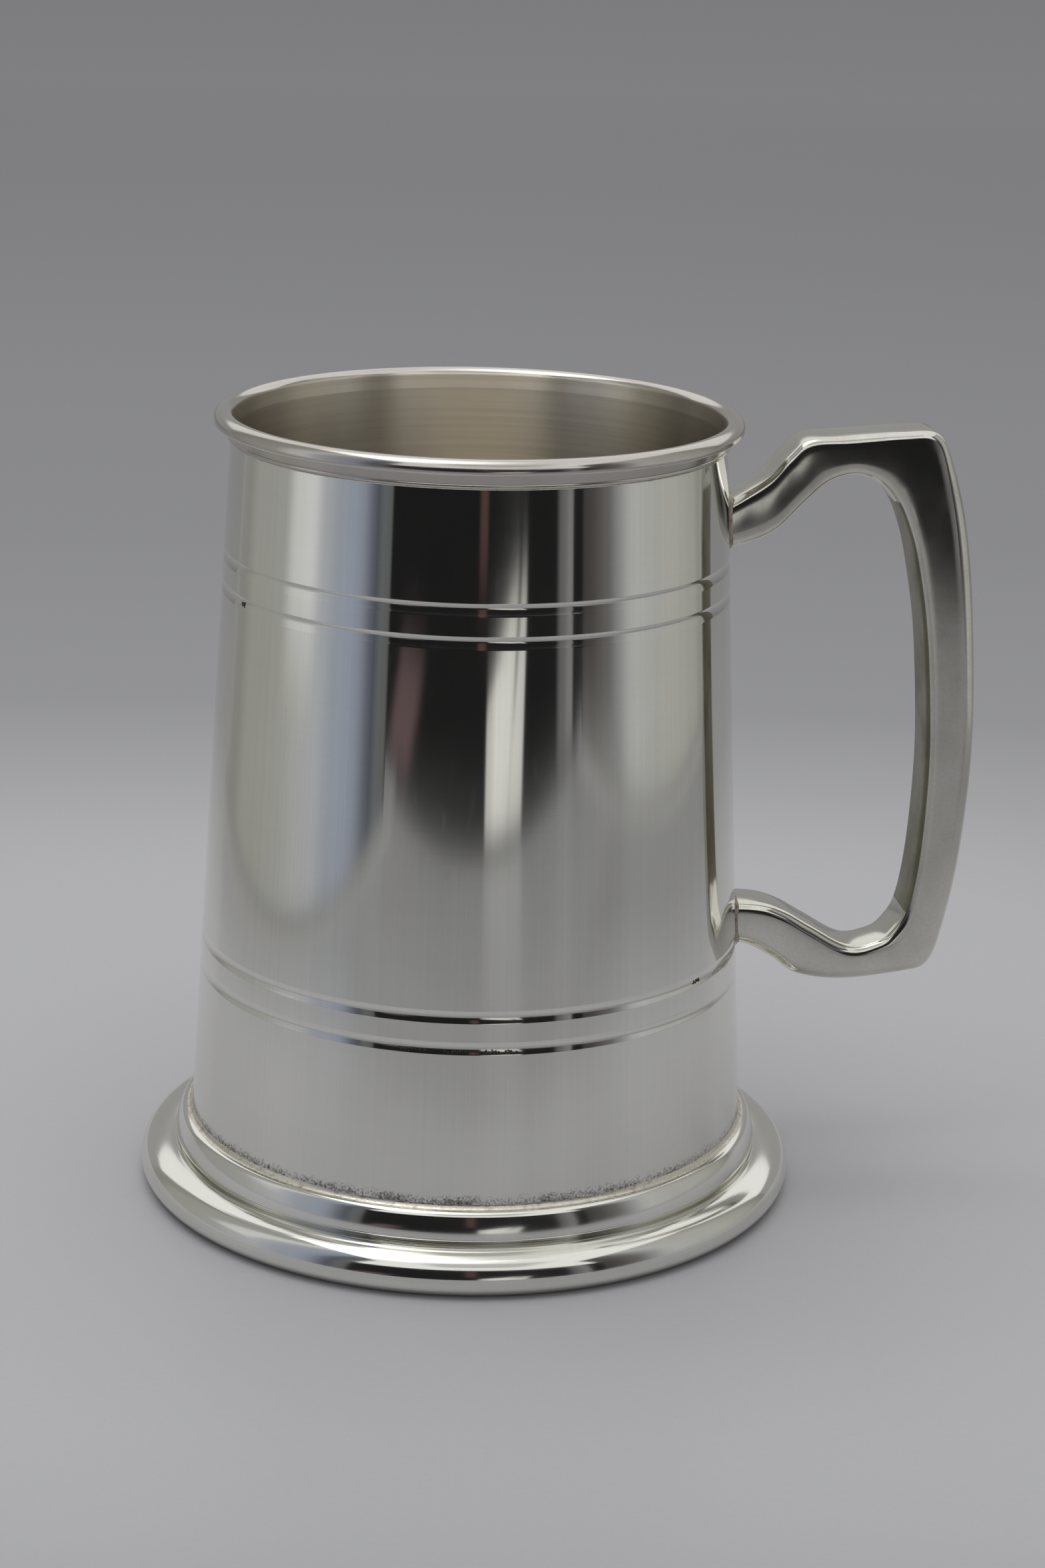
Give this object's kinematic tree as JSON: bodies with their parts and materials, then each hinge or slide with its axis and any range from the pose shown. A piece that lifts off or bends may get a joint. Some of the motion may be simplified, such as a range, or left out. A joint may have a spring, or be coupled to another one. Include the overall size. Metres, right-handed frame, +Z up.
{
  "type": "pewter tankard",
  "caption": "Handled one-pint drinking tankard: tapered polished drum with turned grooves, moulded lip, stepped spreading foot and a square-cornered cast bar handle.",
  "frame": {"origin": "on the drum's own axis at the height of the surface the tankard stands on", "axes": "+Z up through the mouth, +X towards the handle, +Y to the left of someone who looks along +X with +Z up"},
  "size_m": [0.1335, 0.106, 0.1256],
  "materials": {
    "polished_pewter": "mirror polished, with fine turning marks round the drum and light scuffs",
    "foot_pewter": "turned and polished, with satin rings on the lower moulding",
    "satin_pewter": "turned satin",
    "cast_pewter": "smooth casting, buffed by hand, a little wavy",
    "solder": "dull and slightly grainy solder"
  },
  "bodies": {
    "root": {"drum": "polished_pewter", "lip_ring": "satin_pewter", "lip_solder": "solder", "foot_ring": "foot_pewter", "foot_solder": "solder", "floor_disc": "satin_pewter", "floor_solder": "solder", "handle": "cast_pewter", "upper_handle_solder": "solder", "lower_handle_solder": "solder"}
  },
  "joints": []
}
